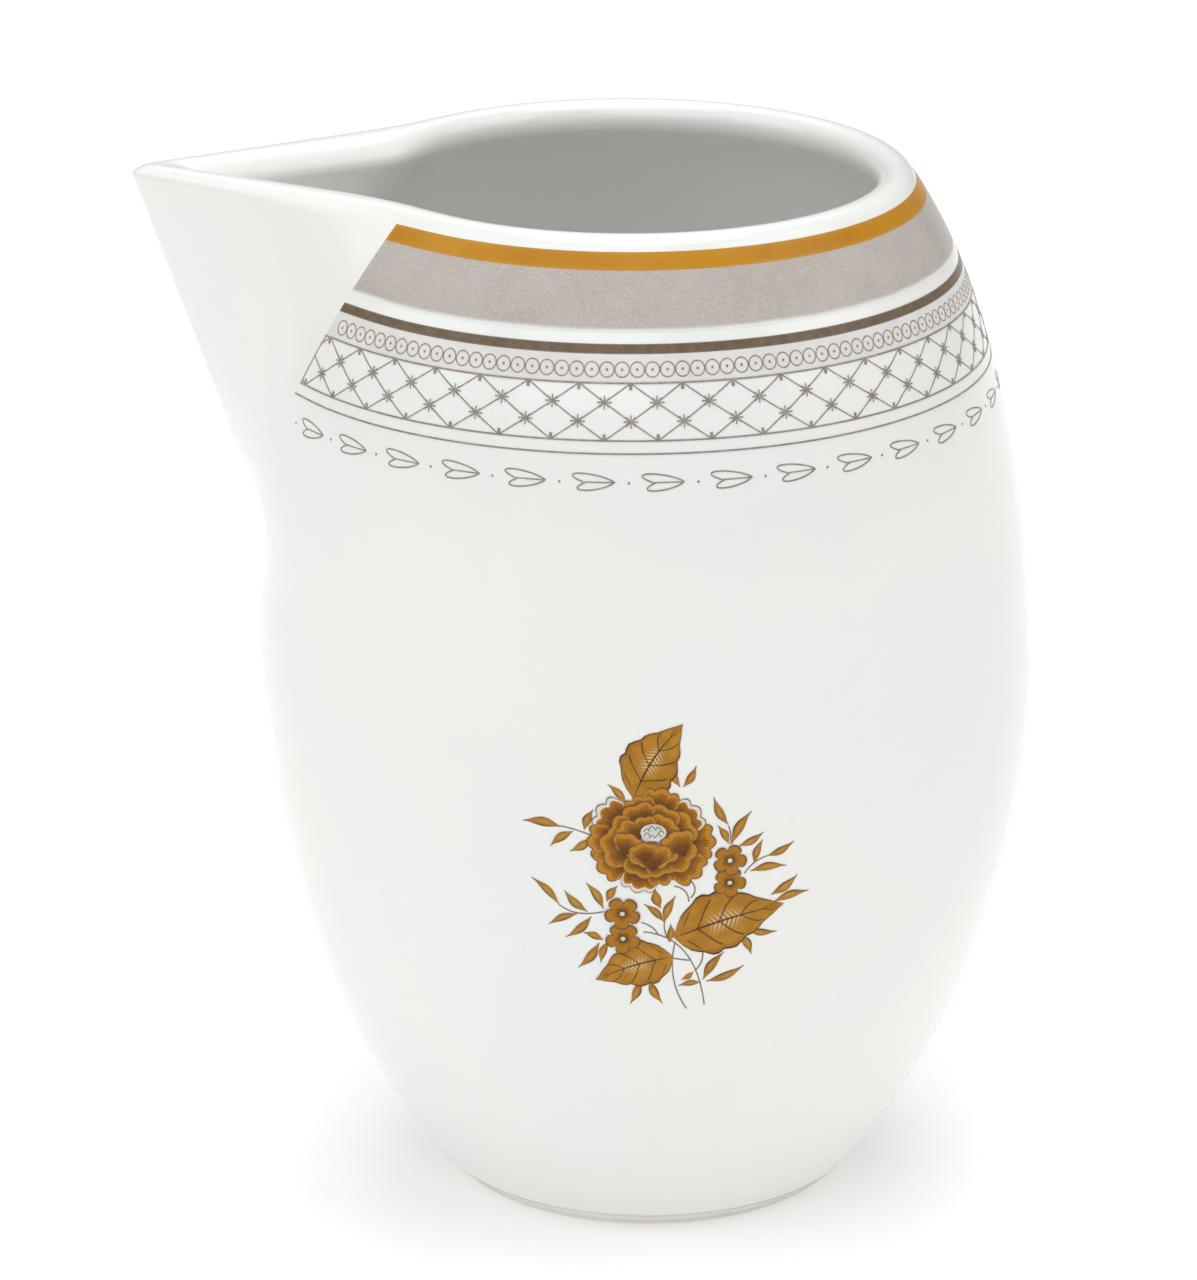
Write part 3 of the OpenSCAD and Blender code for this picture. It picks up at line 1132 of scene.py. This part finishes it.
# %% Slim leaves and stems
# Base, tip and width of each slim leaf, in millimetres from the middle of the bouquet
slim_leaves = (
    ((-11, 4.6), (-15, 4.9), 1.0), ((-8.7, 4.4), (-7.7, 6.7), 0.9),
    ((-9.8, 4.2), (-12.2, 2.4), 0.9), ((-8, 3.6), (-10.2, 2), 0.9),
    ((-4.4, 7.4), (-6.2, 9.5), 0.8), ((1, 9.2), (0.1, 11.7), 0.8), ((1.3, 9.2), (2.7, 11.4), 0.8),
    ((5.7, 4.9), (4.3, 8), 0.9), ((5.7, 2.8), (4.6, 4.9), 0.8), ((6, 2.8), (8.1, 6.2), 1.0),
    ((6.7, 2.5), (9.3, 3.8), 0.8), ((8.3, 0.4), (9.2, 3), 0.8), ((9.6, 1.1), (12.5, 2.4), 0.8),
    ((7.9, -0.4), (11.7, -0.2), 0.9), ((10.1, -3.3), (12.9, -1.4), 1.0),
    ((10.4, -4.2), (14.2, -3.4), 0.9), ((7.6, -7), (10.9, -7.6), 0.8),
    ((7, -7.5), (8.2, -10), 0.9), ((-11.3, -4.1), (-14.2, -1.3), 0.8),
    ((-8.4, -4.7), (-10.8, -2.4), 0.9), ((-6.8, -4.3), (-8.6, -1.4), 0.9),
    ((-6.5, -3.4), (-5.4, -1.6), 0.9), ((-9.4, -5), (-12.4, -6.5), 0.8),
    ((-8, -5.2), (-10.6, -7.8), 0.9), ((-6.8, -7.9), (-8.8, -7.1), 0.8),
    ((-7.2, -8.2), (-9.3, -11.3), 1.0), ((-6.3, -8), (-7, -10.6), 0.8),
    ((-1.1, -4.1), (-1.7, -1.8), 1.0), ((-0.7, -5.7), (-2.8, -3.6), 0.8),
    ((-0.7, -5.7), (0.4, -2.7), 0.9), ((-0.2, -8), (-0.1, -5.9), 0.8),
    ((-3.1, -12.4), (-4, -15.4), 0.9), ((-2.1, -12.4), (-0.7, -15.3), 0.9),
    ((3.3, -12.6), (5.4, -9.4), 1.0), ((3.6, -12.8), (7.5, -11.2), 0.9),
    ((2.3, -11.6), (1.1, -12.5), 0.6), ((3.1, -12.9), (0.8, -13.2), 0.7),
)
# First, middle and last point of each stem
stems = (
    ((-8, 3.9), (-9.6, 4.4), (-11, 4.7)), ((-6.8, -4.6), (-9.4, -4.9), (-11.3, -4.1)),
    ((5.9, 2.8), (5.9, 3.9), (5.7, 4.8)), ((7.3, -0.6), (8.3, 0.5), (9.6, 1.1)),
    ((0.4, -8), (0.3, -12.2), (1.7, -16)), ((-2.8, -6.8), (1.4, -9.2), (3.5, -15.6)),
    ((-3, -5.7), (-1.9, -6.3), (-1.3, -7.2)), ((3.2, -9), (3.1, -10.4), (2.5, -11.4)),
    ((1.6, -0.8), (2.3, -1.9), (1.9, -3.0)), ((0.2, -1.6), (1.3, -2.2), (1.7, -3.4)),
    ((-0.7, -5.7), (-0.6, -6.9), (-0.1, -8)), ((0.2, -9.9), (1.2, -10.1), (1.9, -10.2)),
)
# Base, tip, width and sideways bow of each broad leaf
broad_leaves = (
    ((-3.7, 8.0), (1.6, 15.8), 5.2, 0.06), ((0.3, -7.5), (11.5, -4.5), 6.4, 0.04),
    ((0.2, -9.7), (-7.5, -12.6), 4.9, -0.05),
)


def make_leaves():
    bm = new_drawing()
    for i, (base, tip, width) in enumerate(slim_leaves):
        bow = 0.07 if i % 2 else -0.07
        leaf(bm, base, tip, width, bow, lift=0.01 + 0.002 * (i % 4))
    for i, (base, tip, width, bow) in enumerate(broad_leaves):
        leaf(bm, base, tip, width, bow, lobes=5, lift=0.024 + 0.006 * i, material=1,
             fullness=0.72, taper=1.1)
    return bm


def make_stems():
    bm = new_drawing()
    for points in stems:
        stem(bm, points)
    return bm


print_piece("bouquet_stems", make_stems(), [stem_ink], "flower_print", "bouquet")
print_piece("bouquet_leaves", make_leaves(), [leaf_ink, broad_leaf_ink], "flower_print",
            "bouquet")

# %% [markdown]
# ## The flowers
#
# The peony is laid down like overlapping roof tiles: the outer ring of petals first, then smaller
# rings, a pale middle, and last the cupped petals in front. Every petal lies a few thousandths of a
# millimetre above the one before, which is enough to settle which of them is seen.

# %% The peony
peony_x, peony_y = -1.9, 3.4
flower_lift = 0.045
outer_petals = 10
# Petals in each ring, where they start and end, their spread, their scallops and the first turn
petal_rings = ((outer_petals, 3.3, 6.6, 48, 3, 0.0), (8, 2.3, 5.0, 60, 2, 20.0),
               (6, 1.0, 3.6, 80, 3, 50.0))
# Foot, direction, reach and spread of each cupped petal in front
cupped_petals = (((-4.9, 1.6), 70, 2.9, 92), ((1.3, 1.6), 112, 3.2, 92),
                 ((-1.9, 0.0), 92, 3.4, 100), ((-2.6, 1.0), 98, 2.4, 110))
curl_points = ((-0.28, 0), (0.02, 0.34), (0.3, 0.02))
curl_count = 7


def make_peony():
    bm = new_drawing()
    lift = flower_lift
    for count, start, reach, spread, scallops, offset in petal_rings:
        for i in range(count):
            direction = offset + i * 360 / count + 4 * math.sin(2.3 * i + count)
            flat = 1 - 0.17 * math.sin(math.radians(direction - 8)) ** 2
            longer = reach * flat * (1 + 0.07 * math.sin(3.7 * i))
            pale_rim = count == outer_petals and i % 3 == 1
            lift += 0.004
            petal(bm, (peony_x - 0.2, peony_y), direction, start, longer, spread, scallops, lift,
                  int(pale_rim))
    lift += 0.004
    disc(bm, peony_x + 0.1, peony_y + 1.0, 1.3, lift, 3, 0.72)
    for i in range(curl_count):
        turn = 2 * math.pi * i / curl_count
        x, y = peony_x + 0.1 + 0.75 * math.cos(turn), peony_y + 0.85 + 0.5 * math.sin(turn)
        curl = [(x + dx, y + dy) for dx, dy in curl_points]
        stem(bm, curl, 0.1, lift + 0.006, 2)
    for base, direction, reach, spread in cupped_petals:
        lift += 0.005
        petal(bm, base, direction, 0.2, reach, spread, 3, lift, 0)
    return bm


# %% The blossoms
# Middle and petal length of each blossom
blossoms = ((5.8, -1.5, 1.7), (5.8, 1.0, 1.75), (-4.8, -7.6, 1.8), (-4.9, -4.7, 1.85))
blossom_lift = 0.05


def make_blossoms():
    bm = new_drawing()
    lift = blossom_lift
    for x, y, size in blossoms:
        for i in range(5):
            lift += 0.003
            petal(bm, (x, y), 90 + i * 72 + 8 * x, 0.15, size, 76, 1, lift, round_off=0.34)
        lift += 0.004
        disc(bm, x, y, 0.42, lift, 1)
        disc(bm, x, y, 0.24, lift + 0.003, 2)
    return bm


print_piece("bouquet_peony", make_peony(), [petal_ink, rim_petal_ink, stem_ink, white_ink],
            "flower_print", "bouquet")
print_piece("bouquet_blossoms", make_blossoms(), [blossom_ink, dark_ink, white_ink],
            "flower_print", "bouquet")

# %% [markdown]
# ## Floor, light and camera
#
# The jug stands on a plain white light table in soft light from all sides, as in a light tent.
# Large lamps in front, on each side, behind and above reach over the lip into the cavity. The
# camera looks slightly down from a distance, with a long lens, so that the jug's sides hardly
# converge. The floor lies a hair below the foot, so the two faces never share one level.

# %% Floor
floor_glow = 0.24
floor_half = 6.0
floor_drop = 0.00005


def make_floor():
    bm = bmesh.new()
    bmesh.ops.create_grid(bm, x_segments=2, y_segments=2, size=floor_half,
                          matrix=Matrix.Translation((0, 0, -floor_drop)))
    mesh = bpy.data.meshes.new("floor")
    bm.to_mesh(mesh)
    bm.free()
    floor = bpy.data.objects.new("floor", mesh)
    bpy.context.scene.collection.objects.link(floor)
    surface = Shader("floor_paper", {"Roughness": 0.9})
    clouds = surface.noise(surface.place("Object"), 3.0)
    tone = surface.mix(clouds, paint(236, 236, 236), paint(238, 238, 238))
    surface.set("Base Color", tone)
    surface.set("Emission Color", (1.0, 1.0, 1.0, 1.0))
    surface.set("Emission Strength", floor_glow)
    mesh.materials.append(surface.material)


make_floor()

# %% Light
sky_strength = 0.25
# Name, place from the middle of the jug, size and power of each lamp
lamps = (
    ("front_lamp", (-0.25, -0.95, 0.85), 1.0, 4.2),
    ("left_lamp", (-1.0, -0.3, 0.8), 0.9, 3.3),
    ("right_lamp", (1.0, -0.3, 0.8), 0.9, 3.8),
    ("back_lamp", (0.0, 0.65, 1.05), 0.8, 4.0),
    ("top_lamp", (0.05, -0.05, 1.2), 0.8, 5.6),
)
scene = bpy.context.scene
scene.view_settings.view_transform = "Standard"
world = bpy.data.worlds.new("light_tent")
world.use_nodes = True
sky = world.node_tree.nodes["Background"]
sky.inputs["Color"].default_value = (1.0, 1.0, 1.0, 1.0)
sky.inputs["Strength"].default_value = sky_strength
scene.world = world


def lamp(name, place_at, look_at, size, power):
    """A large square lamp that shines from one place towards another."""
    light = bpy.data.lights.new(name, "AREA")
    light.size, light.energy = size, power
    made = bpy.data.objects.new(name, light)
    made.location = place_at
    made.rotation_euler = (look_at - made.location).to_track_quat("-Z", "Y").to_euler()
    scene.collection.objects.link(made)


middle = (cad_bounds[0] + cad_bounds[1]) / 2
for name, offset, size, power in lamps:
    lamp(name, middle + Vector(offset), middle, size, power)
print(len(lamps), "lamps")

# %% Camera
camera_distance = 0.630
camera_pitch = math.radians(19.05)
film_width = 36
focal_length = 168.75
aim = Vector((-5.24, 0, 57.67)) * MM
lens = bpy.data.cameras.new("camera")
lens.sensor_width = film_width
lens.lens = focal_length
camera = bpy.data.objects.new("camera", lens)
camera.location = aim + camera_distance * Vector((0, -math.cos(camera_pitch),
                                                  math.sin(camera_pitch)))
camera.rotation_euler = (aim - camera.location).to_track_quat("-Z", "Y").to_euler()
scene.collection.objects.link(camera)
scene.camera = camera
